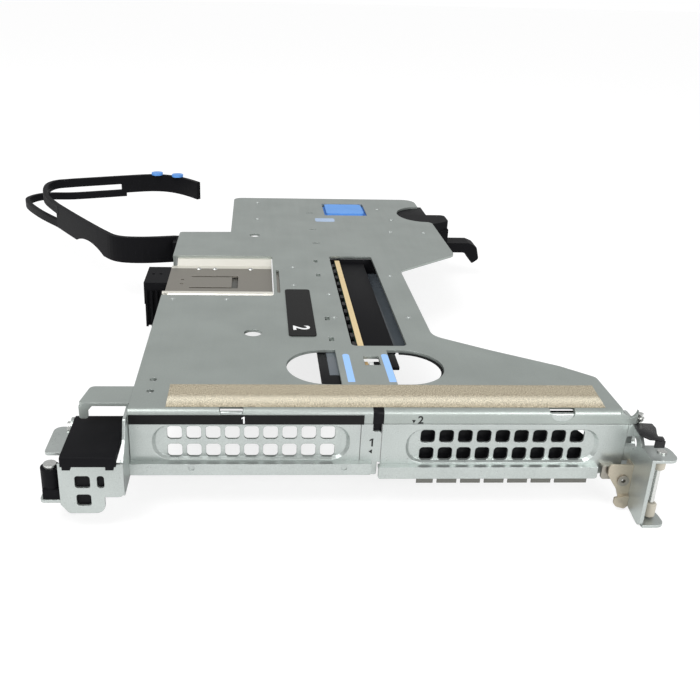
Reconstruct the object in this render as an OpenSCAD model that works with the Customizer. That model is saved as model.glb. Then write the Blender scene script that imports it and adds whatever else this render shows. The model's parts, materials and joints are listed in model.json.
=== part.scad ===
// Low-profile riser cage bracket for a 1U server, with its riser board and retention arm.
// Origin: on the riser board's mid-plane (X), on the front face (Y), at the feet (Z).
// +X is right seen from the front, +Y runs into the server, +Z is up.

/* [Cage sheet] */
// Depth from the front face to the rear edge
cage_depth = 290; // [284:1:330]
// Board mid-plane to the left edge of the sheet
left_w = 84.5; // [84:0.5:95]
// Board mid-plane to the right edge of the front wing
right_w = 83.5; // [83:0.5:95]
// Board mid-plane to the narrow waist on the right
waist_w = 30; // [29:0.5:36]
// Board mid-plane to the right edge of the rear wing
rear_right_w = 63; // [60:1:72]
// Board mid-plane to the left edge of the rear tongue
rear_left_w = 56; // [50:1:64]
// Where the rear tongue begins
tongue_y = 211; // [208:1:220]
// Height of the top face above the feet
top_z = 37; // [36:0.5:40]
// Thickness of the zinc-plated sheet
sheet_t = 1.2; // [1:0.1:1.5]
// Outer radius of the folds
fold_r = 2.2; // [1.8:0.1:3]
// Height of the side flanges
flange_h = 9; // [6:0.5:12]

/* [Openings in the sheet] */
// Width of the finger opening
finger_w = 59; // [50:1:62]
// Depth of the finger opening
finger_d = 30; // [24:1:32]
// Middle of the finger opening from the front face
finger_y = 34.5; // [32:0.5:38]
// Width of the bridge across the finger opening
bridge_w = 20; // [16:1:24]
// Left edge of the board slot
slot_x0 = -4; // [-6:0.5:-3]
// Right edge of the board slot
slot_x1 = 18; // [16:0.5:20]
// Near end of the board slot
slot_y0 = 53.5; // [52:0.5:58]
// Far end of the board slot
slot_y1 = 168; // [166:1:172]
// Width of the spring clip's notch
notch_w = 51; // [46:1:54]
// Near edge of the spring clip's notch
notch_y0 = 109; // [105:1:115]
// Far edge of the spring clip's notch
notch_y1 = 167; // [160:1:172]
// Width of the window of the blue touch pad
pad_w = 26; // [20:1:28]
// Depth of the window of the blue touch pad
pad_d = 28; // [22:1:30]

/* [Slot blanks] */
// Pitch of the air holes
hole_pitch = 6.5; // [6.3:0.05:6.8]
// Size of an air hole
hole_w = 5; // [4:0.1:5.4]
// Corner radius of an air hole
hole_r = 1.3; // [0.8:0.1:2]
// Air holes in a row
hole_cols = 9; // [7:1:9]
// Pitch of the two rows of air holes
row_pitch = 6.8; // [6.4:0.1:7]
// Board mid-plane to the middle of either blank
blank_x = 43.2; // [42:0.1:44]
// Thickness of a blank
blank_t = 0.9; // [0.8:0.1:1.2]
// Length of the pressed panel of a blank
panel_w = 66; // [64:0.5:67]
// Height of the pressed panel of a blank
panel_h = 13.2; // [12.6:0.1:13.2]
// Depth of the pressed panel of a blank
panel_d = 1.2; // [0.6:0.1:1.6]
// Middle height of the first blank
blank_z1 = 24.6; // [24:0.1:25]
// Middle height of the second blank
blank_z2 = 23.2; // [23:0.1:24]

/* [Riser board] */
// Thickness of the riser board
board_t = 2.4; // [1.6:0.1:2.4]
// Near end of the riser board
board_y0 = 56; // [54:0.5:58]
// Far end of the riser board
board_y1 = 166; // [160:0.5:166]
// Length of a sixteen-lane card connector
socket_l = 89; // [80:1:89]
// Height of a card connector off its board
socket_h = 11.2; // [10:0.1:11.5]
// Thickness of a card connector
socket_t = 7.5; // [7:0.1:8]
// Height of the middle of the card connectors
socket_z = 29; // [27:0.5:30]

/* [Left latch] */
// Width of the black cover
cover_w = 17.8; // [16:0.1:18]
// Reach of the cover in front of the front face
cover_reach = 16; // [14:0.5:18]
// Radius of the cover's hinge pin
hinge_r = 1.25; // [1:0.05:1.5]
// Hinge pin axis from the front face
hinge_y = 10.5; // [9:0.5:12]
// Hinge pin axis above the feet
hinge_z = 24.5; // [24:0.1:25]
// Running clearance of the hinge pin and the rollers
running_gap = 0.06; // [0.02:0.01:0.1]

/* [Right end] */
// Board mid-plane to the web of the right bracket
web_x = 90; // [88:0.5:92]
// Reach of the right bracket in front of the front face
web_reach = 15; // [12:0.5:18]
// Radius of the roller pin
roller_pin_r = 0.9; // [0.7:0.05:1.2]
// Outer radius of a roller
roller_r = 2; // [1.6:0.1:2.6]
// Height of the upper roller
upper_roller_h = 5; // [4:0.5:6]
// Height of the lower roller
lower_roller_h = 5.5; // [4.5:0.5:8]

/* [Retention arm] */
// Thickness of the arm's strap
strap_t = 2.8; // [2:0.1:3.4]
// Height of the arm's strap
strap_h = 14.5; // [12:0.5:15]
// Height of the upper rail beside the arm's window
upper_rail_h = 5.6; // [4:0.2:6]
// Height of the lower rail beside the arm's window
lower_rail_h = 4.6; // [4:0.2:5]
// How far the lower rail bulges out at the bend
bend_flare = 14; // [8:1:18]

/* [Hidden] */
$fn = 40;
seat_gap = 0.3;
cut = 1;
under_z = top_z - sheet_t;
zinc = [0.64, 0.66, 0.65];
bright_zinc = [0.76, 0.78, 0.77];
stainless = [0.56, 0.55, 0.52];
black_plastic = [0.09, 0.09, 0.09];
blue_plastic = [0.30, 0.50, 0.80];
beige = [0.72, 0.69, 0.62];

// ---------------------------------------------------------------- helpers
// Corner points of a closed outline; each entry is [x, y, corner radius].
function turn(a, b) = atan2(b[1] - a[1], b[0] - a[0]);
function wrap(a) = a > 180 ? a - 360 : (a < -180 ? a + 360 : a);
function corner(p, q, s, n) =
    let(r = q[2], a0 = turn(p, q), a1 = turn(q, s), bend = wrap(a1 - a0),
        d = r * abs(tan(bend / 2)), side = sign(bend),
        start = [q[0] - d * cos(a0), q[1] - d * sin(a0)],
        centre = start + side * r * [-sin(a0), cos(a0)])
    r == 0 || bend == 0 ? [[q[0], q[1]]] :
    [for (i = [0:n]) let(a = a0 - side * 90 + bend * i / n) centre + r * [cos(a), sin(a)]];
function rounded(pts, n = 5) = let(m = len(pts))
    [for (i = [0:m - 1]) each corner(pts[(i + m - 1) % m], pts[i], pts[(i + 1) % m], n)];
function box_pts(x0, y0, x1, y1, r = 0) = [[x0, y0, r], [x1, y0, r], [x1, y1, r], [x0, y1, r]];

// Smooth curve through a few points, n steps between neighbours.
function blend(a, b, c, d, t) =
    0.5 * (2 * b + (c - a) * t + (2 * a - 5 * b + 4 * c - d) * t * t
        + (3 * b - a - 3 * c + d) * t * t * t);
function smooth(p, n = 5) = let(m = len(p) - 1) concat(
    [for (i = [0:m - 1], k = [0:n - 1])
        blend(p[max(i - 1, 0)], p[i], p[i + 1], p[min(i + 2, m)], k / n)], [p[m]]);
function side_of(p, i, w) = let(m = len(p) - 1,
    a = p[max(i - 1, 0)], b = p[min(i + 1, m)], v = (b - a) / norm(b - a))
    p[i] + w * [-v[1], v[0]];
function ribbon(p, w) = let(m = len(p) - 1) concat(
    [for (i = [0:m]) side_of(p, i, -w / 2)], [for (i = [m:-1:0]) side_of(p, i, w / 2)]);

// Flat plate of an outline seen from above.
module flat(pts, z0, z1) {
    translate([0, 0, z0]) linear_extrude(z1 - z0) polygon(rounded(pts));
}
// Upright plate of an outline in X and Z, from y0 to y1.
module front_plate(pts, y0, y1) {
    translate([0, y1, 0]) rotate([90, 0, 0]) linear_extrude(y1 - y0) polygon(rounded(pts));
}
// Upright plate of an outline in Y and Z, from x0 to x1.
module side_plate(pts, x0, x1) {
    translate([x0, 0, 0]) rotate([90, 0, 90]) linear_extrude(x1 - x0) polygon(rounded(pts));
}
module block(x0, y0, z0, x1, y1, z1) {
    translate([x0, y0, z0]) cube([x1 - x0, y1 - y0, z1 - z0]);
}
module post(x, y, z0, z1, r) {
    translate([x, y, z0]) cylinder(r = r, h = z1 - z0);
}
// Quarter of a rolled edge, its axis along +X from the origin, curving from top to front.
module fold_along_x(len_x) {
    rotate([90, 0, 90]) intersection() {
        difference() {
            cylinder(r = fold_r, h = len_x);
            translate([0, 0, -cut]) cylinder(r = fold_r - sheet_t, h = len_x + 2 * cut);
        }
        translate([-fold_r, 0, -cut]) cube([fold_r, fold_r, len_x + 2 * cut]);
    }
}

// ---------------------------------------------------------------- cage sheet
wing_y = 26;
waist_y0 = 64;
waist_y1 = 146;
band_z = 31.9;
rivet_r = 1.4;
rivet_spots = [[-41, rear_y(12)], [-41, rear_y(51)], [34, rear_y(26)], [39.5, rear_y(50)],
    [54, rear_y(77)], [35, rear_y(76)], [-24, 123.3], [-23.5, 149.7], [-55, 104], [-79, 104]];
bracket_rivets = [[-8.4, 83], [-8.4, 111.5], [23.5, 83.4], [23.5, 137.3]];
function rear_y(back) = cage_depth - back;

function sheet_outline() = [
    [-left_w, fold_r, 0], [right_w, fold_r, 0], [right_w, wing_y, 3],
    [73, wing_y + 9.5, 6], [50, wing_y + 24, 10], [waist_w, waist_y0, 8],
    [waist_w, waist_y1, 5], [rear_right_w, waist_y1 + 27, 6], [rear_right_w, rear_y(56), 4],
    [rear_right_w - 2, rear_y(54), 0], [rear_right_w - 2, rear_y(0), 8],
    [-rear_left_w, rear_y(0), 5], [-rear_left_w, tongue_y, 0], [-left_w, tongue_y - 1, 2]];

module finger_half(side) {
    half = finger_w / 2;
    r = finger_d / 2;
    intersection() {
        union() {
            post(side * (half - r) - 1, finger_y, under_z - cut, top_z + cut, r);
            translate([-1 + side * (half - r) / 2, finger_y, top_z - sheet_t / 2])
                cube([half - r, finger_d, sheet_t + 2 * cut], center = true);
        }
        translate([-1 + side * (bridge_w / 2 + half), finger_y, top_z - sheet_t / 2])
            cube([2 * half, finger_d + cut, sheet_t + 4 * cut], center = true);
    }
}

module rear_finger_notch() {
    translate([rear_right_w - 2, rear_y(36), under_z - cut])
        linear_extrude(sheet_t + 2 * cut) polygon([for (a = [90:15:270])
            [16 * cos(a), 18 * sin(a)], [2 * cut, -18], [2 * cut, 18]]);
}

module left_flange() {
    y0 = 20;
    foot_y = 176;
    side_plate([[y0, under_z, 0], [y0, under_z - flange_h, 2], [foot_y, under_z - flange_h, 3],
        [foot_y + 3, 0, 2], [foot_y + 15, 0, 2], [foot_y + 18, under_z - flange_h, 0],
        [tongue_y - 4, under_z - flange_h, 2], [tongue_y - 4, under_z, 0]],
        -left_w, sheet_t - left_w);
}

module waist_flange() {
    side_plate([[waist_y0 + 6, under_z, 0], [waist_y0 + 6, under_z - flange_h, 3],
        [waist_y1 - 6, under_z - flange_h, 3], [waist_y1 - 6, under_z, 0]],
        waist_w - sheet_t, waist_w);
}

module rear_flange() {
    x1 = 30;
    front_plate([[-rear_left_w + 6, under_z, 0], [-rear_left_w + 6, under_z - flange_h, 2],
        [-12, under_z - flange_h, 3], [-9, 0, 2], [9, 0, 2], [12, under_z - flange_h, 3],
        [x1, under_z - flange_h, 2], [x1, under_z, 0]],
        cage_depth - sheet_t, cage_depth);
}

module front_band() {
    translate([-left_w, fold_r, top_z - fold_r]) fold_along_x(left_w + right_w);
    front_plate([[-left_w, top_z - fold_r, 0], [-left_w, band_z, 0], [right_w + 5, band_z, 0],
        [right_w + 5, top_z - 6, 3], [right_w, top_z - fold_r, 0]], 0, sheet_t);
}

module lance(x, y, w, d) {
    translate([x - w / 2, y - d / 2, under_z - cut]) cube([w, d, sheet_t + 2 * cut]);
}

module top_sheet() color(zinc) difference() {
    union() {
        flat(sheet_outline(), under_z, top_z);
        front_band();
        left_flange();
        waist_flange();
        rear_flange();
    }
    finger_half(-1);
    finger_half(1);
    flat(box_pts(slot_x0, slot_y0, slot_x1, slot_y1, 2), under_z - cut, top_z + cut);
    flat([[-left_w - cut, notch_y0, 0], [notch_w - left_w, notch_y0, 2],
        [notch_w - left_w, notch_y1, 2], [-left_w - cut, notch_y1, 0]],
        under_z - flange_h - cut, top_z + cut);
    flat(box_pts(-32, notch_y0 + 4, -30.6, notch_y1 - 22), under_z - cut, top_z + cut);
    flat(box_pts(0, rear_y(13) - pad_d, pad_w, rear_y(13), 1), under_z - cut, top_z + cut);
    rear_finger_notch();
    post(-43, 66, under_z - cut, top_z + cut, 3.6);
    post(-42.5, 205, under_z - cut, top_z + cut, 3);
    for (y = [14, 23]) post(-78.4, y, under_z - cut, top_z + cut, 1.3);
    for (x = [-50, 62.5]) translate([x, 0, top_z]) rotate([-90, 0, 0])
        cylinder(r = x < 0 ? 4 : 4.4, h = 3 * fold_r, center = true);
    lance(2.2, 39.7, 6, 8);
    for (y = [60, 82, 138, 159.5]) lance(-11.5, y, 2, 4);
    for (y = [191, 218, 254]) lance(-9, y, 4, 1.6);
    for (p = concat(rivet_spots, bracket_rivets))
        post(p[0], p[1], under_z - cut, top_z + cut, rivet_r);
}

module rivet(x, y) {
    post(x, y, under_z, top_z, rivet_r);
    translate([x, y, top_z]) cylinder(r1 = 2.3, r2 = 1.5, h = 0.6);
}

module top_rivets() color(bright_zinc) for (p = concat(rivet_spots, bracket_rivets))
    rivet(p[0], p[1]);

// ---------------------------------------------------------------- front wall
post_x0 = -6;
post_x1 = 1;
blank_edge = 0.2;
rail_y = -2.5;
rail_2_top = 16.2;

module centre_post() color(bright_zinc) {
    front_plate([[post_x0, band_z - blank_edge, 0], [post_x0, 12, 0.5], [post_x1 - 1, 12, 0.5],
        [post_x1 - 1, 17, 0], [post_x1, 17, 0], [post_x1, band_z - 3, 1],
        [post_x0 + 4, band_z - 3, 0.5], [post_x0 + 4, band_z - blank_edge, 0]],
        0, sheet_t);
    block(post_x0, sheet_t, 14, post_x0 + 1.6, 6, 28);
}

module air_hole(x, z) {
    inner = hole_w - 2 * hole_r;
    for (size = [[hole_w, inner], [inner, hole_w]])
        translate([x, 0, z]) cube([size[0], 12, size[1]], center = true);
    for (sx = [-1, 1], sz = [-1, 1])
        translate([x + sx * inner / 2, 0, z + sz * inner / 2]) rotate([90, 0, 0])
            cylinder(r = hole_r, h = 12, center = true, $fn = 24);
}

module panel_press(cx, cz, deep, inset) {
    r = 5;
    hull() {
        front_plate(box_pts(cx - panel_w / 2 + inset, cz - panel_h / 2 + inset,
            cx + panel_w / 2 - inset, cz + panel_h / 2 - inset, r), deep - 0.01, deep);
        front_plate(box_pts(cx - panel_w / 2 + inset - deep, cz - panel_h / 2 + inset - deep / 2,
            cx + panel_w / 2 - inset + deep, cz + panel_h / 2 - inset + deep / 2, r + 1),
            -0.01, 0);
    }
}

module slot_blank(cx, cz, x0, x1) {
    first = cx - hole_pitch * (hole_cols - 1) / 2;
    difference() {
        union() {
            front_plate([[x0, cz - 11, 0], [x1, cz - 11, 0], [x1, band_z - blank_edge, 0],
                [x0, band_z - blank_edge, 0]], 0, blank_t);
            translate([0, blank_t, 0]) panel_press(cx, cz, panel_d, 0);
        }
        panel_press(cx, cz, panel_d, 0.6);
        for (c = [0:hole_cols - 1], s = [-1, 1])
            air_hole(first + c * hole_pitch, cz + s * row_pitch / 2 - 0.2);
    }
}

module slot_blank_1() color(bright_zinc) {
    slot_blank(-blank_x, blank_z1, blank_edge - left_w, post_x0 - blank_edge);
    block(blank_edge - left_w, blank_t, blank_z1 - 8, blank_edge - left_w + blank_t, 11, 30);
}

module slot_blank_2() color(bright_zinc) {
    slot_blank(blank_x, blank_z2, post_x1 + blank_edge, right_w + 2.5);
    block(right_w + 2.5 - blank_t, blank_t, blank_z2 - 8, right_w + 2.5, 11, 29);
}

// Lower rail of a slot: an angle whose lip stands in front of the blank.
module lower_rail(x0, x1, lip_z0, lip_z1) {
    front_plate([[x0, lip_z0, 0.8], [x1, lip_z0, 0.8], [x1, lip_z1, 0], [x0, lip_z1, 0]],
        rail_y, rail_y + 1);
    block(x0, rail_y + 1, lip_z1 - 1, x1, 0, lip_z1);
}

module lower_rail_1() color(bright_zinc) difference() {
    lower_rail(-left_w, -2, 13.3, 17.6);
    for (x = [-63.5, -11.5]) translate([x, rail_y, 16]) rotate([90, 0, 0])
        cylinder(r = 1, h = 0.8, center = true);
}

module lower_rail_2() color(bright_zinc) lower_rail(0.4, 77, rail_2_top - 4.5, rail_2_top);

module emi_finger_strip() color(stainless) difference() {
    front_plate(box_pts(14, 9.4, 74, rail_2_top - 1, 0), rail_y + 1, rail_y + 1.4);
    for (i = [0:5]) translate([20.5 + 8.3 * i, rail_y + 1.2, 9.6])
        cube([1.4, 2, 3.6], center = true);
}

module silver_tab() color(stainless) {
    front_plate([[78.4, 11.5, 1], [84.6, 11.5, 1], [84.6, 15, 0], [83, 16.6, 0],
        [78.4, 16.6, 0.6]], rail_y, rail_y + 1);
    block(78.4, rail_y + 1, 15.6, 83, 0, 16.6);
}

module emi_gasket_tape() color([0.72, 0.66, 0.56]) {
    y0 = fold_r;
    flat([[-72, y0, 0], [77.5, y0, 0], [79.5, y0 + 12, 1], [79.5, y0 + 17, 0],
        [-72, y0 + 17, 0]], top_z, top_z + 0.9);
}

// ---------------------------------------------------------------- left end
box_x0 = -left_w - 20;
box_front = 2 - cover_reach;
wall_x = -left_w - 1;
box_foot = 6.1;
pin_wall = 3.6;

module left_end_box() color(bright_zinc) difference() {
    union() {
        front_plate([[box_x0 - 1, 24.8, 0], [box_x0 - 1, 9.5, 0], [box_x0 + 1.6, box_foot, 1.5],
            [box_x0 + 13.5, box_foot, 3], [box_x0 + 13.5, 12.3, 0], [wall_x + 1, 12.3, 2],
            [wall_x + 1, 24.8, 0]], box_front, box_front + 1);
        side_plate([[box_front + 1, 12.3, 0], [19, 12.3, 0], [19, under_z, 1], [-4, under_z, 1],
            [-7, 29.8, 1], [box_front + 1, 24.8, 0]], wall_x, wall_x + 1);
        side_plate([[box_front + 1, 9.5, 0], [19, 9.5, 0], [19, 20, 0],
            [hinge_y + pin_wall, 20, 0], [hinge_y + pin_wall, hinge_z + pin_wall, 3.5],
            [hinge_y - pin_wall, hinge_z + pin_wall, 3.5], [hinge_y - pin_wall, 20, 0],
            [0, 20, 0], [box_front + 1, 22, 0]], box_x0 - 1, box_x0);
        flat([[box_x0 - 9, 1, 1.5], [box_x0 - 1, 1, 0], [box_x0 - 1, 19, 0],
            [box_x0 - 9, 19, 3]], 19, 20);
        flat([[box_x0 - 8, box_front + 1, 1.5], [box_x0 - 1, box_front + 1, 0],
            [box_x0 - 1, -3, 0], [box_x0 - 8, -3, 2]], 9.5, 10.5);
    }
    front_plate(box_pts(box_x0 + 4.1, 15.8, box_x0 + 9.1, 20.4, 1), box_front - 1, box_front + 2);
    front_plate(box_pts(box_x0 + 4.3, 9, box_x0 + 9.1, 13.4, 1), box_front - 1, box_front + 2);
    front_plate(box_pts(box_x0 + 11.3, 15.8, box_x0 + 13.7, 20.4, 1),
        box_front - 1, box_front + 2);
    translate([box_x0 - 2, hinge_y, hinge_z]) rotate([0, 90, 0]) cylinder(r = hinge_r, h = 30);
}

module left_cover() color(black_plastic) {
    x0 = box_x0 + seat_gap;
    x1 = x0 + cover_w;
    barrel_r = 4;
    difference() {
        union() {
            side_plate([[-cover_reach, hinge_z + barrel_r, 0.8], [-cover_reach, 23.2, 0],
                [1.7 - cover_reach, 23.2, 0], [1.7 - cover_reach, 26, 0],
                [hinge_y, 26, 0], [hinge_y, hinge_z + barrel_r, 0]], x0, x1);
            translate([x0, hinge_y, hinge_z]) rotate([0, 90, 0])
                cylinder(r = barrel_r, h = cover_w);
            for (x = [x0 + 0.6, x1 - 3.4])
                block(x, -cover_reach, 22, x + 2.6, 1.7 - cover_reach, 23.2);
            for (i = [0:4]) block(x0 + 3 + 2.6 * i, 4 - cover_reach, hinge_z + barrel_r,
                x0 + 4 + 2.6 * i, 9 - cover_reach, hinge_z + barrel_r + 0.4);
        }
        translate([x0 - 1, hinge_y, hinge_z]) rotate([0, 90, 0])
            cylinder(r = hinge_r + running_gap, h = cover_w + 2);
    }
}

module cover_pin() color(bright_zinc) translate([box_x0 - 1.4, hinge_y, hinge_z])
    rotate([0, 90, 0]) {
        cylinder(r = hinge_r, h = wall_x + 1 - box_x0 + 1.4);
        translate([0, 0, -1]) cylinder(r = hinge_r + 0.9, h = 1.4);
    }

module left_guide_block() color(black_plastic) difference() {
    union() {
        post(box_x0 - 4.6, -9, 10.5, 21, 3.2);
        block(box_x0 - 7, -12.4, 10.5, box_x0 - 1, -5.4, 14);
    }
    post(box_x0 - 4.6, -9, 9, 22, 1.5);
}

module guide_stud() color(bright_zinc) {
    post(box_x0 - 4.6, -9, 10.5, 21, 1.5);
    post(box_x0 - 4.6, -9, 21, 22.2, 2.2);
}

module left_ear() color(zinc) {
    x0 = -left_w - 17;
    flat([[x0, 5, 1], [-left_w, 5, 0], [-left_w, 17.5, 0], [x0 + 2, 17.5, 2]],
        under_z, top_z);
    front_plate([[x0, under_z, 0], [x0, 31, 0.8], [x0 + 3, 31, 0.8], [x0 + 3, 34, 0.5],
        [x0 + 4.5, under_z, 0]], 5, 5 + sheet_t);
}

// ---------------------------------------------------------------- right end
web_t = 1.3;
web_y0 = -web_reach;
ear_w = 8;
ear_top = 26.5;
pin_x = web_x + 4.2;
pin_y = web_y0 + 5.5;

module right_end_bracket() color(bright_zinc) difference() {
    union() {
        side_plate([[0, 10, 0], [-5, 2, 1], [web_y0, 0, 2], [web_y0, ear_top, 0],
            [web_y0 + 9, ear_top, 0], [-2, 31, 1], [sheet_t, 31, 0], [14, 31, 3],
            [14, 14, 3], [sheet_t, 10, 0]], web_x - web_t, web_x);
        for (z = [0, ear_top - 1]) flat([[web_x, web_y0, 0], [web_x + ear_w, web_y0, 3],
            [web_x + ear_w, web_y0 + 10, 4], [web_x, web_y0 + 10, 0]], z, z + 1);
        front_plate([[right_w + 2.6, 10.5, 0], [web_x - web_t, 10.5, 0],
            [web_x - web_t, band_z - 0.2, 0], [right_w + 2.6, band_z - 0.2, 0]], 0, sheet_t);
    }
    post(pin_x, pin_y, -1, ear_top + 1, roller_pin_r);
    for (z = [15.5, 25]) translate([web_x - web_t - 3, -0.5, z])
        rotate([0, 90, 0]) cylinder(r = 2.1, h = 6);
}

module roller_pin() color(bright_zinc) {
    post(pin_x, pin_y, 0, ear_top + 0.5, roller_pin_r);
    post(pin_x, pin_y, ear_top + 0.01, ear_top + 0.5, roller_pin_r + 0.7);
}

module roller(z0, z1) color(beige) difference() {
    translate([pin_x, pin_y, z0]) rotate_extrude() polygon([[0, 0], [roller_r - 0.5, 0],
        [roller_r, 0.5], [roller_r, z1 - z0 - 0.5], [roller_r - 0.5, z1 - z0], [0, z1 - z0]]);
    post(pin_x, pin_y, z0 - 1, z1 + 1, roller_pin_r + running_gap);
}

module upper_roller() roller(ear_top - 1.3 - upper_roller_h, ear_top - 1.3);

module lower_roller() roller(1 + seat_gap, 1 + seat_gap + lower_roller_h);

lever_y = -4;
module catch_lever() color(beige) difference() {
    union() {
        front_plate([[web_x - web_t - 8.5, 18, 1], [web_x - web_t - 8.5, 14, 1],
            [web_x - web_t - 4.5, 8, 2], [web_x - web_t - 2.4, 2, 1],
            [web_x - web_t, 2, 0], [web_x - web_t, 18, 0]], lever_y, lever_y + 0.8);
        block(web_x - web_t - 0.8, lever_y + 0.8, 9, web_x - web_t, 0, 18);
        front_plate([[web_x - web_t - 5, 5.2, 0.5], [web_x - web_t - 5, 2, 2],
            [web_x - web_t - 1, 0.8, 1], [web_x - web_t, 2, 0], [web_x - web_t, 6, 0]],
            lever_y - 1, lever_y);
    }
    translate([web_x - web_t - 3, lever_y, 12]) rotate([90, 0, 0])
        cylinder(r = 1.3, h = 6, center = true);
}

module catch_eyelet() color(stainless) difference() {
    union() {
        translate([web_x - web_t - 3, lever_y, 12]) rotate([90, 0, 0])
            cylinder(r = 2, h = 0.7);
        translate([web_x - web_t - 3, lever_y + 0.8, 12]) rotate([90, 0, 0])
            cylinder(r = 1.3, h = 0.8);
    }
    translate([web_x - web_t - 3, lever_y, 12]) rotate([90, 0, 0])
        cylinder(r = 0.8, h = 6, center = true);
}

module latch_pad() color(black_plastic) difference() {
    union() {
        flat([[web_x - web_t, -2, 0], [web_x + 3, -4, 2], [web_x + 7.5, -4, 1],
            [web_x + 7.5, 1, 2], [web_x + 5, 5, 2], [web_x - web_t, 6, 0]], 31, 32);
        front_plate(box_pts(web_x + 2.8, 27.6, web_x + 7.4, 31), -4, -3);
    }
    post(web_x + 0.8, 3, 30, 33, 1);
    post(web_x + 2.4, -1, 30, 33, 0.8);
}

module pad_pin() color(bright_zinc) {
    post(web_x + 0.8, 3, 31, 34.5, 1);
    post(web_x + 0.8, 3, 32.01, 33, 1.5);
}

// ---------------------------------------------------------------- spring clip
clip_t = 0.9;
clip_drop = 3.6;
clip_z = top_z - clip_drop - clip_t / 2;
clip_x1 = notch_w - left_w - 0.4;
tuck_z = under_z - clip_t / 2;
clip_profile = [[notch_y0 - 9, tuck_z], [notch_y0 + 0.6, tuck_z], [notch_y0 + 2.4, top_z - 0.4],
    [notch_y0 + 3.6, top_z], [notch_y0 + 5, top_z - 0.4], [notch_y0 + 7.6, clip_z],
    [notch_y1 - 6, clip_z], [notch_y1 - 1.6, tuck_z], [notch_y1 + 6, tuck_z]];

module clip_plate() color(stainless) difference() {
    x0 = -left_w;
    tongue_x0 = x0 + 11;
    tongue_x1 = x0 + 34;
    shown = [for (i = [2:6]) clip_profile[i]];
    union() {
        translate([x0, 0, 0]) rotate([90, 0, 90]) linear_extrude(clip_x1 - x0)
            polygon(ribbon(shown, clip_t));
        translate([x0 + fold_r + 0.4, 0, 0]) rotate([90, 0, 90])
            linear_extrude(clip_x1 - x0 - fold_r - 0.4) polygon(ribbon(clip_profile, clip_t));
    }
    for (y = [notch_y0 + 19, notch_y0 + 35])
        block(tongue_x0, y, clip_z - 2, tongue_x1, y + 1.4, clip_z + 2);
    block(tongue_x1 - 3, notch_y0 + 19, clip_z - 2, tongue_x1, notch_y0 + 36.4, clip_z + 2);
    for (y = [notch_y0 + 25, notch_y0 + 31]) post(x0 + 7, y, clip_z - 2, clip_z + 2, 0.8);
    for (x = [-79, -55]) post(x, 104, tuck_z - 2, under_z + 1, rivet_r);
}

module clip_rivets() color(bright_zinc) {
    for (x = [-left_w + 14, -left_w + 22, -left_w + 40])
        translate([x, notch_y1 - 11, clip_z + clip_t / 2]) cylinder(r1 = 1.4, r2 = 1, h = 0.5);
}

// ---------------------------------------------------------------- card retainer
module card_retainer() color(black_plastic) {
    x1 = -left_w;
    x0 = x1 - 11.5;
    y0 = 136;
    depth = 24;
    difference() {
        union() {
            block(x0, y0, 22, x1, y0 + depth, 33);
            block(x0 + 1, y0 + 1, 10.5, x1, y0 + 5, 22);
        }
        for (i = [0:3]) block(x0 + 1.8 + 2.5 * i, y0 - 1, 9, x0 + 3 + 2.5 * i, y0 + 0.8, 29);
        for (x = [x0 + 3.4, x0 + 7]) post(x, y0 + 13, 30, 34, 0.8);
    }
    for (i = [0:4]) block(x0 + 0.5 + 2.5 * i, y0 - 0.8, 10.5, x0 + 1.6 + 2.5 * i, y0, 29);
}

// ---------------------------------------------------------------- riser board
board_top = under_z - seat_gap;
finger_z = 8;

module riser_board() color([0.10, 0.26, 0.16]) difference() {
    side_plate([[board_y0, finger_z, 1], [board_y0 + 14, finger_z, 0], [board_y0 + 14, 0, 1],
        [board_y0 + 33, 0, 1], [board_y0 + 33, 6, 0.8], [board_y0 + 35, 6, 0.8],
        [board_y0 + 35, 0, 1], [board_y1 - 12, 0, 1], [board_y1 - 12, finger_z, 0],
        [board_y1, finger_z, 1], [board_y1, board_top, 1], [board_y0, board_top, 1]],
        -board_t / 2, board_t / 2);
    for (y = [board_y0 + 4, board_y1 - 4]) translate([-5, y, 14]) rotate([0, 90, 0])
        cylinder(r = 1.6, h = 10);
}

module card_socket(side) {
    y0 = (board_y0 + board_y1 - socket_l) / 2;
    x0 = side * board_t / 2;
    difference() {
        translate([x0 + (side > 0 ? 0 : -socket_h), y0, socket_z - socket_t / 2])
            cube([socket_h, socket_l, socket_t]);
        for (part = [[1.5, 11.6], [15.2, socket_l - 1.5]])
            translate([x0 + side * socket_h - (side > 0 ? 8 : 0), y0 + part[0], socket_z - 0.9])
                cube([8 + (side > 0 ? 1 : 0), part[1] - part[0], 1.8]);
    }
}

module slot_1_connector() color(black_plastic) card_socket(-1);

module slot_2_connector() color(black_plastic) card_socket(1);

module board_bracket() color(zinc) {
    z0 = under_z - 1;
    difference() {
        union() {
            flat(box_pts(slot_x1 + 1, board_y0 - 4, waist_w - 2.5, slot_y1 + 12, 2), z0, under_z);
            flat(box_pts(-13, slot_y1 + 2, slot_x1 + 2, slot_y1 + 12, 1), z0, under_z);
            flat(box_pts(-11.6, board_y0 + 3, slot_x0 - 1.5, slot_y1 + 4, 1), z0, under_z);
        }
        for (p = bracket_rivets) post(p[0], p[1], z0 - 1, under_z + 1, rivet_r);
    }
    difference() {
        side_plate([[slot_y1 + 2, z0, 0], [slot_y1 + 2, 20, 0], [board_y1 - 9, 20, 1],
            [board_y1 - 9, 9, 2], [slot_y1 + 8, 9, 2], [slot_y1 + 8, z0, 0]],
            board_t / 2, board_t / 2 + 1);
        translate([0, board_y1 - 4, 14]) rotate([0, 90, 0]) cylinder(r = 1.6, h = 6);
    }
}

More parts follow.
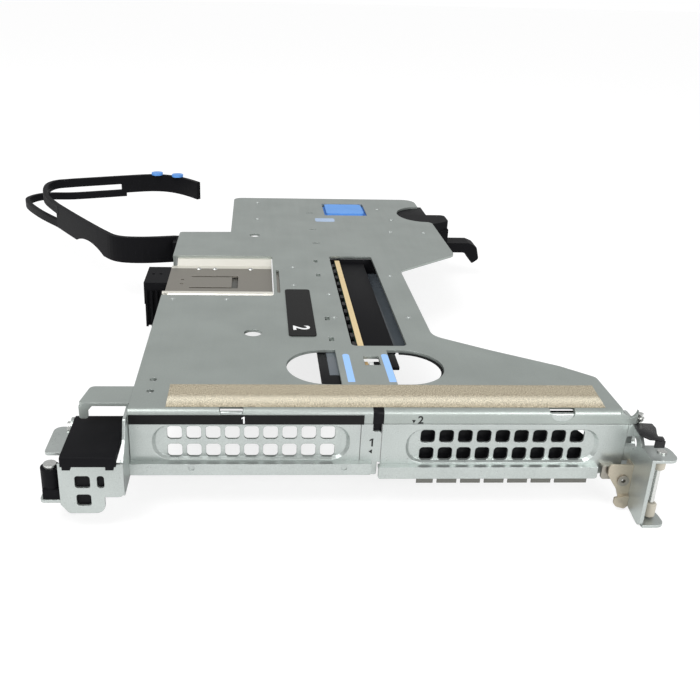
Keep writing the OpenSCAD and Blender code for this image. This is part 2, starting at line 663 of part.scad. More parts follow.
module board_screws() color(bright_zinc) translate([board_t / 2 + 1, board_y1 - 4, 14])
    rotate([0, 90, 0]) {
        difference() {
            cylinder(r1 = 2.9, r2 = 2.2, h = 1.6);
            translate([0, 0, 0.8]) cylinder(r = 1.2, h = 1, $fn = 6);
        }
        translate([0, 0, -board_t - 1]) cylinder(r = 1.6, h = board_t + 1);
    }

module board_components() color([0.16, 0.17, 0.17]) {
    x = -board_t / 2;
    for (y = [board_y0 + 3:9:board_y1 - 6]) block(x - 1.6, y, 33.2, x, y + 4, 34.6);
    for (y = [board_y0 + 5:22:board_y1 - 12]) translate([x - 2.5, y + 4, 18])
        rotate([0, 90, 0]) cylinder(r = 2.4, h = 2.5);
    block(x - 1.2, board_y0 + 40, 12, x, board_y0 + 54, 22);
}

module insulator_film() color([0.05, 0.05, 0.05]) difference() {
    flat([[12, 16, 1], [waist_w + 42, 16, 2], [waist_w + 42, wing_y + 8, 4],
        [waist_w + 1, slot_y0 - 3, 6], [12, slot_y0 - 3, 1]], under_z - 0.4, under_z);
    post(finger_w / 2 - finger_d / 2 - 3, finger_y - 2.5, 30, top_z, finger_d / 2 - 2.5);
    block(9, finger_y - finger_d / 2, 30, finger_w / 2 - finger_d / 2 - 3,
        finger_y + finger_d / 2 - 5, top_z);
}

// ---------------------------------------------------------------- labels and pads
module riser_label_plate() color([0.06, 0.06, 0.06])
    flat(box_pts(-28.5, 62.3, -17.2, 116.5, 1.5), top_z, top_z + 0.4);

module slot_label_strip() color([0.05, 0.05, 0.05]) difference() {
    block(-left_w, -0.3, 32.2, -5.2, 0, 34.8);
    translate([-50, 0, top_z]) rotate([90, 0, 0]) cylinder(r = 4, h = 5, center = true);
}

module rear_touch_pad() color(blue_plastic) {
    y1 = rear_y(13);
    flat(box_pts(1.5, y1 - pad_d + 4, pad_w - 1.5, y1 - 2, 2), under_z - 1, top_z + 0.2);
    flat(box_pts(-2, y1 - pad_d - 2, pad_w + 2, y1 + 2, 1), under_z - 1.6, under_z - 1);
    for (x = [-2, pad_w]) block(x, y1 - pad_d - 2, under_z - 1, x + 2, y1 + 2, under_z);
}

// ---------------------------------------------------------------- retention arm
strap_z1 = top_z;
strap_z0 = top_z - strap_h;
arm_y = tongue_y - 9.5;
near_path = [[-left_w - 1.4, arm_y], [-104, arm_y - 3], [-118, arm_y - 1], [-128, arm_y + 10],
    [-147, arm_y + 38], [-165, arm_y + 66]];
upper_path = [[-163, arm_y + 63], [-165, arm_y + 66], [-178, arm_y + 91],
    [-183.5, arm_y + 116], [-181, arm_y + 130], [-171, arm_y + 136], [-152, arm_y + 143],
    [-135, arm_y + 149]];
lower_path = [[-163, arm_y + 63], [-165, arm_y + 66], [-181, arm_y + 87],
    [-183.5 - bend_flare * 0.8, arm_y + 110], [-183.5 - bend_flare, arm_y + 124],
    [-181 - bend_flare * 0.6, arm_y + 135], [-171, arm_y + 137], [-152, arm_y + 143],
    [-135, arm_y + 149]];
return_path = [[-138, arm_y + 148], [-118, arm_y + 154], [-104, arm_y + 152],
    [-92, arm_y + 143], [-82, arm_y + 131]];

module strap(path, z0, z1) {
    translate([0, 0, z0]) linear_extrude(z1 - z0) polygon(ribbon(smooth(path), strap_t));
}

module cable_arm() color(black_plastic) {
    difference() {
        strap(near_path, strap_z0, strap_z1);
        translate([-138, arm_y + 24, strap_z0 - 36]) rotate([90, 0, -33])
            cylinder(r = 40, h = 30, center = true, $fn = 80);
    }
    strap(upper_path, strap_z1 - upper_rail_h, strap_z1);
    strap(lower_path, strap_z0, strap_z0 + lower_rail_h);
    strap(return_path, strap_z0 + 2.5, strap_z1);
    side_plate([[arm_y - 9, strap_z0, 2], [arm_y + 5, strap_z0, 2], [arm_y + 5, under_z, 0],
        [arm_y - 9, under_z, 0]], -left_w - 2.6, -left_w);
}

module arm_grip() color(blue_plastic) {
    for (p = [[-113, arm_y + 153.6], [-98, arm_y + 148.4]])
        post(p[0], p[1], strap_z1, strap_z1 + 1.6, 4);
}

// ---------------------------------------------------------------- rear hook
module rear_hook() color(black_plastic) {
    y1 = rear_y(33);
    flat([[rear_right_w - 24, y1 - 24, 2], [rear_right_w - 4, y1 - 24, 2],
        [rear_right_w + 12, y1 - 14, 3], [rear_right_w + 12, y1, 3],
        [rear_right_w - 24, y1, 3]], 31, under_z);
    flat([[rear_right_w - 8, y1 - 16, 2], [rear_right_w + 12, y1 - 16, 0],
        [rear_right_w + 12, y1, 2], [rear_right_w - 8, y1, 2]], 22, 31);
    front_plate([[rear_right_w + 6, 22, 0], [rear_right_w + 6, 16, 1],
        [rear_right_w + 24, 16, 3], [rear_right_w + 29, 9, 1], [rear_right_w + 33, 12, 2],
        [rear_right_w + 31, 20, 3], [rear_right_w + 26, 22, 2]], y1 - 14, y1 - 2);
}

top_sheet();
centre_post();
slot_blank_1();
slot_blank_2();
lower_rail_1();
lower_rail_2();
emi_finger_strip();
emi_gasket_tape();
left_end_box();
left_cover();
cover_pin();
left_guide_block();
guide_stud();
left_ear();
right_end_bracket();
roller_pin();
upper_roller();
lower_roller();
catch_lever();
catch_eyelet();
latch_pad();
pad_pin();
silver_tab();
clip_plate();
clip_rivets();
card_retainer();
riser_board();
slot_1_connector();
slot_2_connector();
board_bracket();
board_screws();
board_components();
insulator_film();
riser_label_plate();
slot_label_strip();
rear_touch_pad();
cable_arm();
arm_grip();
rear_hook();
top_rivets();
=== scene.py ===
import json
import math

import bpy
from mathutils import Matrix, Vector


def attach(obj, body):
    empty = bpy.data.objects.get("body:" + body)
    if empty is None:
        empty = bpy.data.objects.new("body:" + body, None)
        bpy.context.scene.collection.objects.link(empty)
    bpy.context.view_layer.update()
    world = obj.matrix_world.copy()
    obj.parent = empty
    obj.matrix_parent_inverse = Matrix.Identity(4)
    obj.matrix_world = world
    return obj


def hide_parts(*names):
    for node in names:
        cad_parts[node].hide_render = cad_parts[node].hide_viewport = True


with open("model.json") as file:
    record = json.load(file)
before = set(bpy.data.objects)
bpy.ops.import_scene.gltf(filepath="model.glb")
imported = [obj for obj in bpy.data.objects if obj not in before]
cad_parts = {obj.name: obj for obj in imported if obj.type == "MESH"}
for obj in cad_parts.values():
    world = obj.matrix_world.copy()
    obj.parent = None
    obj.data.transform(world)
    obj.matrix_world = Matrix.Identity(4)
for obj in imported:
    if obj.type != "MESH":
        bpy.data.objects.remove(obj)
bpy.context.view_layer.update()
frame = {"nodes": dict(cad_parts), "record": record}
nodes = frame["nodes"]
mm = 0.001

# Sums on shader sockets.


class Socket:
    def __init__(self, tree, link):
        self.tree = tree
        self.link = link

    def maths(self, operation, *values):
        node = self.tree.nodes.new("ShaderNodeMath")
        node.operation = operation
        for place, value in zip(node.inputs, values):
            connect(self.tree, value, place)
        return Socket(self.tree, node.outputs[0])

    def __add__(self, other):
        return self.maths("ADD", self, other)

    def __radd__(self, other):
        return self.maths("ADD", other, self)

    def __sub__(self, other):
        return self.maths("SUBTRACT", self, other)

    def __rsub__(self, other):
        return self.maths("SUBTRACT", other, self)

    def __mul__(self, other):
        return self.maths("MULTIPLY", self, other)

    def __rmul__(self, other):
        return self.maths("MULTIPLY", other, self)

    def __gt__(self, other):
        return self.maths("GREATER_THAN", self, other)

    def __lt__(self, other):
        return self.maths("LESS_THAN", self, other)


def connect(tree, value, place):
    if isinstance(value, Socket):
        tree.links.new(value.link, place)
    else:
        place.default_value = value


class Finish:
    def __init__(self, name, **fixed):
        self.material = bpy.data.materials.new(name)
        self.material.use_nodes = True
        self.tree = self.material.node_tree
        self.shader = self.tree.nodes["Principled BSDF"]
        self.set(**fixed)

    def set(self, **values):
        for label, value in values.items():
            place = self.shader.inputs[label.replace("_", " ")]
            if isinstance(value, tuple) and len(value) == 3 and place.type == "RGBA":
                value = (*value, 1)
            connect(self.tree, value, place)
        return self

    def node(self, kind, settings, output=0, **sockets):
        made = self.tree.nodes.new(kind)
        for key, value in settings.items():
            setattr(made, key, value)
        for key, value in sockets.items():
            label = key.replace("_", " ")
            place = made.inputs[int(label[1:])] if label[1:].isdigit() else made.inputs[label]
            if isinstance(value, tuple) and place.type == "RGBA" and len(value) == 3:
                value = (*value, 1)
            connect(self.tree, value, place)
        return Socket(self.tree, made.outputs[output])

    def place(self, scale=(1, 1, 1)):
        spot = self.node("ShaderNodeTexCoord", {}, "Object")
        if scale == (1, 1, 1):
            return spot
        return self.node("ShaderNodeMapping", {}, Vector=spot, Scale=scale)

    def axes(self):
        spot = self.node("ShaderNodeTexCoord", {}, "Object")
        parts = self.tree.nodes.new("ShaderNodeSeparateXYZ")
        self.tree.links.new(spot.link, parts.inputs[0])
        return [Socket(self.tree, out) * 1000 for out in parts.outputs]

    def noise(self, size, detail=4, stretch=(1, 1, 1), rough=0.5):
        return self.node("ShaderNodeTexNoise", {}, "Fac", Vector=self.place(stretch),
                         Scale=1 / size, Detail=detail, Roughness=rough)

    def mix(self, amount, low, high):
        return self.node("ShaderNodeMix", {"data_type": "RGBA"}, 2, Factor=amount,
                         i6=low, i7=high)

    def ramp(self, value, low, high, start=0, end=1):
        return self.node("ShaderNodeMapRange", {}, 0, Value=value, i1=low, i2=high,
                         i3=start, i4=end)

    def bump(self, height, depth, strength=1, base=None):
        made = self.tree.nodes.new("ShaderNodeBump")
        connect(self.tree, height, made.inputs["Height"])
        made.inputs["Distance"].default_value = depth
        made.inputs["Strength"].default_value = strength
        if base:
            connect(self.tree, base, made.inputs["Normal"])
        return Socket(self.tree, made.outputs[0])

    def soften(self, radius):
        return self.node("ShaderNodeBevel", {"samples": 4}, 0, Radius=radius)


# Finishes, one for each material slot.

sheetLook = {"colour": (0.35, 0.385, 0.365), "roughness": 0.4, "metallic": 0.7, "grain": 0.5}
stripes = {"colour": (0.27, 0.47, 0.83), "centres": (-7.35, 7.6), "half": 1.3,
           "near": 21.5, "far": 44.3}


def zinc(name, colour, roughness, metallic=0.75, grain=0.45, striped=False):
    f = Finish(name, Metallic=metallic)
    mottle = f.noise(0.02, 5)
    fine = f.noise(grain * mm, 3)
    streak = f.noise(0.004, 4, stretch=(1, 0.08, 1))
    tone = f.ramp(mottle * 0.45 + fine * 0.55, 0.35, 0.65)
    low = tuple(c * 0.88 for c in colour)
    high = tuple(min(1, c * 1.08) for c in colour)
    base = f.mix(tone, low, high)
    rough = f.ramp(streak * 0.5 + fine * 0.5, 0.3, 0.7, roughness - 0.07, roughness + 0.09)
    if striped:
        x, y, z = f.axes()
        past = y.maths("MAXIMUM", y - stripes["far"], 0.0)
        painted = 0
        for centre in stripes["centres"]:
            side = x - centre
            painted = (side * side + past * past < stripes["half"] ** 2) + painted
        painted = painted * (y > stripes["near"]) * (z > 36.9)
        base = f.mix(painted, base, stripes["colour"])
        rough = rough + painted * 0.1
        f.set(Metallic=f.ramp(painted, 0, 1, metallic, 0))
    f.set(Base_Color=base, Roughness=rough)
    f.set(Normal=f.bump(fine, 0.00002, 0.35, f.soften(0.3 * mm)))
    return f.material


def steel(name, colour, roughness, stretch=(1, 1, 1), metallic=1):
    f = Finish(name, Metallic=metallic)
    grain = f.noise(0.0008, 5, stretch)
    f.set(Base_Color=f.mix(f.ramp(grain, 0.3, 0.7), tuple(c * 0.88 for c in colour), colour))
    f.set(Roughness=f.ramp(grain, 0.3, 0.7, roughness - 0.06, roughness + 0.08))
    f.set(Normal=f.bump(grain, 0.000015, 0.4, f.soften(0.2 * mm)))
    return f.material


def plastic(name, colour, roughness, grain=0.25, depth=0.02, radius=0.35, shine=0.3):
    f = Finish(name, Specular_IOR_Level=shine)
    texture = f.noise(grain * mm, 3)
    cloud = f.noise(0.012, 3)
    f.set(Base_Color=f.mix(cloud, tuple(c * 0.85 for c in colour), tuple(c * 1.15 for c in colour)))
    f.set(Roughness=f.ramp(texture, 0.3, 0.7, roughness - 0.06, roughness + 0.06))
    f.set(Normal=f.bump(texture, depth * mm, 0.5, f.soften(radius * mm)))
    return f.material


def wovenTape(ridge):
    f = Finish("wovenTape", Specular_IOR_Level=0.4, Metallic=0.3)
    warp = f.noise(0.32 * mm, 2, stretch=(1, 0.45, 1))
    glint = f.noise(0.22 * mm, 1)
    x, y, z = f.axes()
    weave = f.ramp(warp * 0.6 + glint * 0.4, 0.36, 0.64)
    # Painted highlight: the weave colours are lighter along the front ridge and darker away from
    # it.
    away = y.maths("ABSOLUTE", y - ridge)
    ridge_highlight = f.ramp(away, 0.8, 4, 1, 0)
    dark = f.mix(ridge_highlight, (0.17, 0.145, 0.1), (0.4, 0.36, 0.27))
    light = f.mix(ridge_highlight, (0.6, 0.53, 0.39), (0.95, 0.88, 0.7))
    f.set(Base_Color=f.mix(weave, dark, light))
    f.set(Roughness=f.ramp(glint, 0.3, 0.7, 0.38, 0.62))
    f.set(Normal=f.bump(weave, 0.00006, 0.6))
    return f.material


# The clip's two bent edges are painted near white, a painted highlight where they face the light,
# against its darker flat middle.
def clipSteel(near, far):
    f = Finish("clipSteel", Metallic=0.85)
    x, y, z = f.axes()
    grain = f.noise(0.6 * mm, 4, stretch=(0.4, 2, 1))
    bend_highlight = (y < near) + (y > far)
    flat = f.mix(grain, (0.24, 0.225, 0.195), (0.34, 0.32, 0.28))
    # Painted highlight on the two bent edges.
    f.set(Base_Color=f.mix(bend_highlight, flat, (0.88, 0.86, 0.78)))
    f.set(Roughness=f.ramp(grain, 0.3, 0.7, 0.3, 0.42))
    f.set(Normal=f.bump(grain, 0.00001, 0.4, f.soften(0.2 * mm)))
    return f.material


# Bare laminate shows along the board's upper edge.
def laminate(edge):
    f = Finish("laminate", Roughness=0.5)
    x, y, z = f.axes()
    fibre = f.noise(0.5 * mm, 3, stretch=(1, 0.2, 1))
    bare = f.mix(fibre, (0.5, 0.38, 0.19), (0.7, 0.56, 0.32))
    masked = f.mix(f.noise(2 * mm, 3), (0.01, 0.05, 0.03), (0.02, 0.085, 0.05))
    f.set(Base_Color=f.mix(z > edge, masked, bare))
    f.set(Normal=f.bump(fibre, 0.00001, 0.4))
    return f.material


finishes = {
    "zinc_sheet": zinc("zincSheet", sheetLook["colour"], sheetLook["roughness"],
                       sheetLook["metallic"], sheetLook["grain"], True),
    # Painted light: a lighter, glossier copy of the zinc finish for faces that catch the front
    # light.
    "bright_zinc": zinc("zincPaintedLit", (0.45, 0.485, 0.47), 0.32),
    "stainless": steel("stainless", (0.36, 0.34, 0.3), 0.36, (6, 0.5, 1)),
    "steel_pin": steel("steelPin", (0.66, 0.67, 0.65), 0.25),
    "beige_nylon": plastic("naturalNylon", (0.46, 0.43, 0.36), 0.5),
    "beige_steel": steel("springSteel", (0.5, 0.45, 0.36), 0.34, metallic=0.75),
    "black_plastic": plastic("blackPlastic", (0.005, 0.005, 0.006), 0.52, shine=0.07),
    "black_gloss": plastic("glossBlack", (0.008, 0.008, 0.009), 0.25, radius=0.2, shine=0.3),
    "black_film": plastic("insulatorFilm", (0.004, 0.004, 0.005), 0.4, radius=0.05, shine=0.12),
    "black_label": plastic("labelBlack", (0.006, 0.006, 0.006), 0.5, radius=0.05, shine=0.15),
    "board_green": laminate(35.2),
    "component_grey": plastic("chipGrey", (0.012, 0.012, 0.013), 0.45, radius=0.05, shine=0.3),
    "blue_plastic": plastic("touchBlue", (0.11, 0.3, 0.7), 0.45),
    "gasket_weave": wovenTape(6.5),
}
darkSpring = steel("darkSpring", (0.17, 0.17, 0.155), 0.4)
paintWhite = plastic("paintWhite", (0.72, 0.73, 0.73), 0.55, radius=0.02)
paintBlack = plastic("paintBlack", (0.01, 0.01, 0.01), 0.55, radius=0.02)
paleBlue = plastic("paleBlue", (0.36, 0.46, 0.62), 0.55, radius=0.02)
tanPaint = plastic("copperTan", (0.5, 0.34, 0.16), 0.4, radius=0.02)
smokeGloss = plastic("smokeGloss", (0.09, 0.105, 0.12), 0.22, radius=0.1, shine=0.5)

for part in frame["record"]["subparts"]:
    mesh = nodes[part["node"]].data
    mesh.materials.clear()
    mesh.materials.append(finishes[part["material_slot"]])
for name, finish in (("clip_plate", clipSteel(117.5, 157)), ("emi_finger_strip", darkSpring)):
    nodes[name].data.materials.clear()
    nodes[name].data.materials.append(finish)
print("finishes on the CAD nodes")

# The camera.

view = {"place": (-0.0424, -0.2465, 0.1704), "yaw": 2.66, "pitch": 22.92, "roll": -1.37,
        "lens": 42.98, "shift": (0.0854, -0.0281)}


def addCamera():
    yaw, pitch, roll = (math.radians(view[k]) for k in ("yaw", "pitch", "roll"))
    ahead = Vector((math.sin(yaw) * math.cos(pitch), math.cos(yaw) * math.cos(pitch),
                    -math.sin(pitch)))
    right = Vector((math.cos(yaw), -math.sin(yaw), 0))
    down = ahead.cross(right)
    rightTurned = right * math.cos(roll) + down * math.sin(roll)
    downTurned = down * math.cos(roll) - right * math.sin(roll)
    turn = Matrix((rightTurned, -downTurned, -ahead)).transposed().to_4x4()
    data = bpy.data.cameras.new("productCamera")
    data.lens = view["lens"]
    data.sensor_width = 36
    data.shift_x, data.shift_y = view["shift"]
    data.clip_start = 0.01
    camera = bpy.data.objects.new("productCamera", data)
    bpy.context.scene.collection.objects.link(camera)
    camera.matrix_world = Matrix.Translation(view["place"]) @ turn
    bpy.context.scene.camera = camera


addCamera()

# Helpers for the pieces that the folded and moulded CAD parts lack.


def clearSelection():
    bpy.ops.object.select_all(action="DESELECT")


def choose(piece):
    clearSelection()
    piece.select_set(True)
    bpy.context.view_layer.objects.active = piece


def roundEdges(piece, width, segments=2):
    choose(piece)
    bevel = piece.modifiers.new("edges", "BEVEL")
    bevel.width = width * mm
    bevel.segments = segments
    bevel.limit_method = "ANGLE"
    bpy.ops.object.modifier_apply(modifier="edges")
    bpy.ops.object.shade_smooth_by_angle(angle=math.radians(35))


def settle(piece, name, finish, body="cage"):
    choose(piece)
    piece.name = name
    bpy.ops.object.transform_apply(location=True, rotation=True, scale=True)
    piece.data.materials.clear()
    piece.data.materials.append(finish)
    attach(piece, body)
    return piece


def block(name, low, high, finish, edge=0.15, segments=2, body="cage"):
    low, high = Vector(low) * mm, Vector(high) * mm
    clearSelection()
    bpy.ops.mesh.primitive_cube_add(size=1, location=(low + high) / 2, scale=high - low)
    piece = bpy.context.object
    choose(piece)
    bpy.ops.object.transform_apply(location=True, rotation=True, scale=True)
    roundEdges(piece, edge, segments)
    return settle(piece, name, finish, body)


# A plate of an outline in X and Y, or in X and Z when it stands upright.
def plate(name, outline, start, end, finish, upright=False, edge=0.12, body="cage"):
    clearSelection()
    bpy.ops.mesh.primitive_circle_add(vertices=len(outline), fill_type="NGON")
    piece = bpy.context.object
    for vertex, (u, v) in zip(piece.data.vertices, outline):
        vertex.co = Vector((u, start, v) if upright else (u, v, start)) * mm
    lift = Vector((0, end - start, 0) if upright else (0, 0, end - start)) * mm
    bpy.ops.object.mode_set(mode="EDIT")
    bpy.ops.mesh.select_all(action="SELECT")
    bpy.ops.mesh.extrude_region_move(TRANSFORM_OT_translate={"value": lift})
    bpy.ops.mesh.select_all(action="SELECT")
    bpy.ops.mesh.normals_make_consistent(inside=False)
    bpy.ops.object.mode_set(mode="OBJECT")
    if edge:
        roundEdges(piece, edge)
    return settle(piece, name, finish, body)


def arc(centre, radius, first, last, steps=16):
    turns = [math.radians(first + (last - first) * k / steps) for k in range(steps + 1)]
    return [(centre[0] + radius * math.cos(a), centre[1] + radius * math.sin(a)) for a in turns]


def numeral(name, body, size, place, turn, finish):
    clearSelection()
    bpy.ops.object.text_add(location=Vector(place) * mm,
                            rotation=[math.radians(a) for a in turn])
    piece = bpy.context.object
    piece.data.body = body
    piece.data.size = size * mm
    piece.data.extrude = 0.03 * mm
    piece.data.offset = 0.02 * size * mm
    piece.data.align_x = "CENTER"
    choose(piece)
    bpy.ops.object.convert(target="MESH")
    return settle(bpy.context.object, name, finish)


# An upright figure 1 with its flag, drawn in its own height.
def digitOne(name, x, z, height, face, finish):
    shape = [(0, 0), (0.19, 0), (0.19, 1), (0.05, 1), (-0.22, 0.83), (-0.22, 0.67), (0, 0.78)]
    outline = [(x + u * height, z + v * height) for u, v in shape]
    plate(name, outline, face, face + 0.05, finish, True, 0)


# The woven gasket tape, crowned along its front ridge.
tape = {"left": -72, "right": 79.3, "near": 2.3, "far": 19, "slant": 1.6, "seat": 37.02,
        "thick": 0.82, "ridge": 6.5, "spread": 3.2}


def addTape():
    clearSelection()
    bpy.ops.mesh.primitive_grid_add(x_subdivisions=150, y_subdivisions=24, size=1)
    piece = bpy.context.object
    for vertex in piece.data.vertices:
        u, v = vertex.co.x + 0.5, vertex.co.y + 0.5
        y = tape["near"] + v * (tape["far"] - tape["near"])
        x = tape["left"] + u * (tape["right"] - tape["left"] - tape["slant"] * (1 - v))
        side = min(v, 1 - v) * (tape["far"] - tape["near"])
        end = min(u, 1 - u) * (tape["right"] - tape["left"])
        crown = 0.5 + 0.5 * math.exp(-((y - tape["ridge"]) / tape["spread"]) ** 2)
        crown *= min(1, 0.35 + 0.65 * min(side, end) / 0.9)
        vertex.co = Vector((x, y, tape["seat"] + tape["thick"] * crown)) * mm
    bpy.ops.object.mode_set(mode="EDIT")
    bpy.ops.mesh.select_all(action="SELECT")
    bpy.ops.mesh.extrude_region_move(TRANSFORM_OT_translate={"value": (0, 0, -0.2 * mm)})
    bpy.ops.transform.resize(value=(1, 1, 0), center_override=(0, 0, tape["seat"] * mm))
    bpy.ops.mesh.select_all(action="SELECT")
    bpy.ops.mesh.normals_make_consistent(inside=False)
    bpy.ops.object.mode_set(mode="OBJECT")
    choose(piece)
    bpy.ops.object.shade_smooth_by_angle(angle=math.radians(40))
    settle(piece, "gasketTape", finishes["gasket_weave"])
    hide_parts("emi_gasket_tape")


addTape()
print("gasket tape")

# The latch cover, without ribs and with a shallow front lip.
cover = {"top": 28.49, "low": 23.3, "raise": 1.8, "edge": 0.35}


def addCover():
    piece = bpy.data.objects.new("coverShell", nodes["left_cover"].data.copy())
    bpy.context.scene.collection.objects.link(piece)
    choose(piece)
    bpy.ops.object.mode_set(mode="EDIT")
    bpy.ops.mesh.select_all(action="SELECT")
    bpy.ops.mesh.remove_doubles(threshold=0.000001)
    bpy.ops.mesh.select_all(action="SELECT")
    bpy.ops.mesh.bisect(plane_co=(0, 0, cover["top"] * mm), plane_no=(0, 0, 1),
                        use_fill=True, clear_outer=True)
    bpy.ops.object.mode_set(mode="OBJECT")
    for vertex in piece.data.vertices:
        if vertex.co.z < cover["low"] * mm:
            vertex.co.z += cover["raise"] * mm
    roundEdges(piece, cover["edge"], 3)
    settle(piece, "coverShell", finishes["black_plastic"], "latch_cover")
    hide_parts("left_cover")


addCover()
plate("coverBacking", [(-104, 8.2), (-92.2, 8.2), (-92.2, 13.6), (-87, 13.6), (-87, 23.6),
                       (-104, 23.6)], -12.8, -12.4, finishes["black_film"], True, 0)
print("latch cover")

# Small flush rivets: a plug level with the sheet and a low head.
rivets = {"spots": [(-41, 278), (-41, 239), (34, 264), (39.5, 240), (54, 213), (35, 214),
                    (-24, 123.3), (-23.5, 149.7), (-55, 104), (-79, 104), (-8.4, 83),
                    (-8.4, 111.5), (23.5, 83.4), (23.5, 137.3)],
          "plug": 1.39, "small": 0.75, "large": 1.2, "rear": 200, "rise": 0.4, "top": 37}


def addRivets():
    made = []
    for x, y in rivets["spots"]:
        clearSelection()
        bpy.ops.mesh.primitive_cylinder_add(vertices=24, radius=rivets["plug"] * mm, depth=mm,
                                            location=(x * mm, y * mm, (rivets["top"] - 0.5) * mm))
        piece = bpy.context.object
        bpy.ops.object.transform_apply(location=True, rotation=True, scale=True)
        bpy.ops.object.mode_set(mode="EDIT")
        bpy.ops.mesh.select_all(action="DESELECT")
        bpy.ops.object.mode_set(mode="OBJECT")
        for face in piece.data.polygons:
            face.select = face.normal.z > 0.9
        bpy.ops.object.mode_set(mode="EDIT")
        head = rivets["large"] if y > rivets["rear"] else rivets["small"]
        bpy.ops.mesh.inset(thickness=(rivets["plug"] - head) * mm)
        bpy.ops.mesh.extrude_region_move(
            TRANSFORM_OT_translate={"value": (0, 0, rivets["rise"] * mm)})
        bpy.ops.mesh.bevel(offset=0.25 * mm, segments=3, affect="EDGES")
        bpy.ops.object.mode_set(mode="OBJECT")
        made.append(piece)
    clearSelection()
    for piece in made:
        piece.select_set(True)
    bpy.context.view_layer.objects.active = made[0]
    bpy.ops.object.join()
    piece = bpy.context.object
    bpy.ops.object.shade_smooth_by_angle(angle=math.radians(35))
    # The rivet heads take the lighter zinc copy, a painted highlight.
    settle(piece, "rivetHeads", finishes["bright_zinc"])
    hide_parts("top_rivets")


addRivets()
print("rivets")

# Front wall: label, painted shade in the gap over the post, notch lips, end of the band and the
# marks.
front = {"label": (-84.3, -5.2, 31.7, 35.2), "gap": (-2.2, 1.5, 31.9, 34.8), "roll": 2.2,
         "notches": ((-50, 3.9), (62.5, 4.3)), "notchTop": 36.2}


def addFront():
    x0, x1, z0, z1 = front["label"]
    label = block("slotLabel", (x0, -0.3, z0), (x1, 0, z1), finishes["black_label"], 0.1)
    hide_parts("slot_label_strip")
    digitOne("labelOne", -46, 32.1, 2.6, -0.34, paintWhite)
    # Painted shade: black film blocks fill the gap over the post and its fold, standing in for the
    # shade in the opening; a black sheet sits behind the post.
    x0, x1, z0, z1 = front["gap"]
    block("bandGapShade", (x0, -0.05, z0), (x1, 0.4, z1), finishes["black_film"], 0.02)
    roll = front["roll"]
    clearSelection()
    bpy.ops.mesh.primitive_cylinder_add(vertices=64, radius=(roll + 0.05) * mm,
                                        depth=(x1 - x0) * mm, rotation=(0, math.pi / 2, 0),
                                        location=((x0 + x1) / 2 * mm, roll * mm, z1 * mm))
    gap = bpy.context.object
    bpy.ops.object.transform_apply(location=True, rotation=True, scale=True)
    roundEdges(gap, 0.03)
    settle(gap, "foldGapShade", finishes["black_film"])
    block("postBacking", (-3.4, 1.25, 27.2), (1.2, 1.5, 32), finishes["black_film"], 0.05)
    # The notch lips take the lighter zinc copy, a painted highlight on their edges.
    for index, (x, half) in enumerate(front["notches"]):
        top = front["notchTop"] - index * 0.4
        block("notchLip" + str(index + 1), (x - half, 0.12, 32.2), (x + half, 1.7, top),
              finishes["bright_zinc"], 0.7, 4)
    plate("bandEnd", [(82.6, 31.9), (88.5, 31.9), (85.7, 34.7), (82.6, 36.5)], 0.05, 1.2,
          finishes["zinc_sheet"], True)
    digitOne("postOne", -2.3, 23.1, 3.1, -0.05, paintBlack)
    plate("postArrow", [(-3.1, 21.15), (-1.9, 22), (-1.9, 20.3)], -0.05, 0, paintBlack,
          True, 0)
    numeral("bandTwo", "2", 4, (14, -0.02, 32.1), (90, 0, 0), paintBlack)
    plate("bandArrow", [(11, 33.4), (12.3, 33.4), (11.65, 32.1)], -0.05, 0, paintBlack,
          True, 0)
    numeral("plateTwo", "2", 9.5, (-26.3, 70.5, 37.42), (0, 0, -90), paintWhite)


addFront()
print("front wall")

# What shows through the openings in the sheet.
opening = {"centre": (13.5, 34.5), "radius": 15, "rim": 0.9, "under": 35.78}


def addInside():
    z = opening["under"]
    inner = arc(opening["centre"], opening["radius"] - opening["rim"], -60, 88)
    outer = arc(opening["centre"], opening["radius"] + 1.5, 88, -60)
    film = plate("filmRim", inner + outer, z - 0.4, z, finishes["black_film"], False, 0)
    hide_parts("insulator_film")
    plate("filmFlap", [(11.5, 10.5), (76, 10.5), (76, 23), (70, 27.2), (70, 34.6),
                       (11.5, 34.6)], 4.4, 4.7, finishes["black_film"], True, 0)
    block("clipFloor", (-75, 124, 31.9), (-48, 150, 32.2), darkSpring, 0.1)
    block("slitFloor", (-33.4, 112, 34.9), (-29.4, 147, z - 0.05), finishes["stainless"], 0.1)
    block("leftShelf", (-17.9, 18, 34.2), (-8.9, 52.5, z - 0.3), finishes["black_film"], 0.2)
    block("leftWindow", (-14.6, 30, 34.9), (-10, 50.5, z - 0.1), smokeGloss, 0.8, 4)
    block("rightShelf", (9.6, 37, 34.2), (12.5, 52, z - 0.2), finishes["black_film"], 0.2)
    block("socketShroud", (1.35, 54.5, 32.8), (13.9, 169.5, 34), finishes["black_plastic"], 0.3)
    block("slotFilm", (13.4, 71, 27.6), (28.6, 170, 27.9), smokeGloss, 0.1)
    block("farFilm", (-3.5, 166.6, 20), (28.5, 167, z), finishes["black_film"], 0.1)
    block("hookPlate", (42, 236, 33.6), (64, 276, z), finishes["black_plastic"], 0.4)
    for name, low, high, finish in (("windowTan", -0.5, 1.3, tanPaint),
                                    ("windowWhite", 1.6, 3.4, paintWhite),
                                    ("windowBlack", 3.5, 6.4, finishes["black_plastic"])):
        block(name, (low, 35.5, 32.8), (high, 44, 34.6), finish, 0.2)
    plate("blueMark", [(-6, 234.5), (4.4, 234.5), (5, 236), (5, 241), (4.4, 242), (-6, 242),
                       (-6.6, 241), (-6.6, 236)], 37, 37.04, paleBlue, False, 0)


addInside()
print("inside the openings")
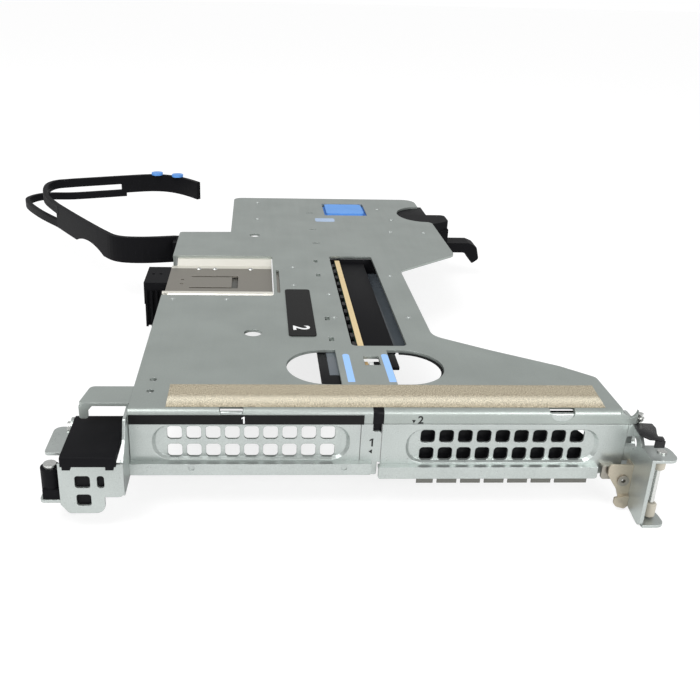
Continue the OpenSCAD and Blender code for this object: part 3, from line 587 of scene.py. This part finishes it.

# The plate at the right end, in near-black gloss: its dark colour is a painted reflection of the
# dark surroundings on shiny plated steel.
padOutline = [(87.9, 0.3), (89.1, 1.3), (94.4, 0.7), (94.4, -2.4), (92.9, -6.5), (92.7, -7.8),
              (94.2, -8.1), (93.9, -10.2), (89.2, -9.4), (87.1, -6.5), (87.4, -2.4)]
pad = plate("latchPlateDarkReflection", padOutline, 31, 31.8, finishes["black_gloss"])
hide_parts("latch_pad")
block("latchLipDarkReflection", (90.9, -10.2, 28.5), (94.4, -9.5, 31.1), finishes["black_gloss"], 0.2)

# Light and floor.

studio = {"world": 0.62, "floorGlow": 0.8, "floorTint": 0.24}


def addLamp(name, place, aim, size, power):
    data = bpy.data.lights.new(name, "AREA")
    data.shape = "RECTANGLE"
    data.size, data.size_y = size
    data.energy = power
    lamp = bpy.data.objects.new(name, data)
    bpy.context.scene.collection.objects.link(lamp)
    direction = Vector(aim) - Vector(place)
    lamp.matrix_world = (Matrix.Translation(place)
                         @ direction.to_track_quat("-Z", "Y").to_matrix().to_4x4())


addLamp("keyAbove", (-0.5, -0.3, 1.1), (0, 0.12, 0), (0.7, 0.7), 10)
addLamp("fillFront", (0.5, -0.9, 0.55), (0, 0.1, 0.02), (0.7, 0.4), 7)

world = bpy.data.worlds.new("studioWorld")
bpy.context.scene.world = world
world.use_nodes = True
sky = world.node_tree.nodes["Background"]
paths = world.node_tree.nodes.new("ShaderNodeLightPath")
sky.inputs["Color"].default_value = (1, 1, 1, 1)
seen = Socket(world.node_tree, paths.outputs["Is Camera Ray"])
connect(world.node_tree, seen * (1 - studio["world"]) + studio["world"], sky.inputs["Strength"])

clearSelection()
bpy.ops.mesh.primitive_plane_add(size=12, location=(0, 0.1, 0))
floor = bpy.context.object
floor.name = "studioFloor"
pale = Finish("paleFloor", Roughness=0.7, Specular_IOR_Level=0.1, Emission_Strength=1.0)
direct = pale.node("ShaderNodeLightPath", {}, "Is Camera Ray")
tint = studio["floorTint"]
pale.set(Base_Color=pale.mix(direct, (0.9, 0.9, 0.9), (tint, tint, tint)))
glow = studio["floorGlow"]
pale.set(Emission_Color=pale.mix(direct, (0, 0, 0), (glow, glow, glow)))
floor.data.materials.append(pale.material)
bpy.context.scene.view_settings.view_transform = "Standard"
print("light and floor")
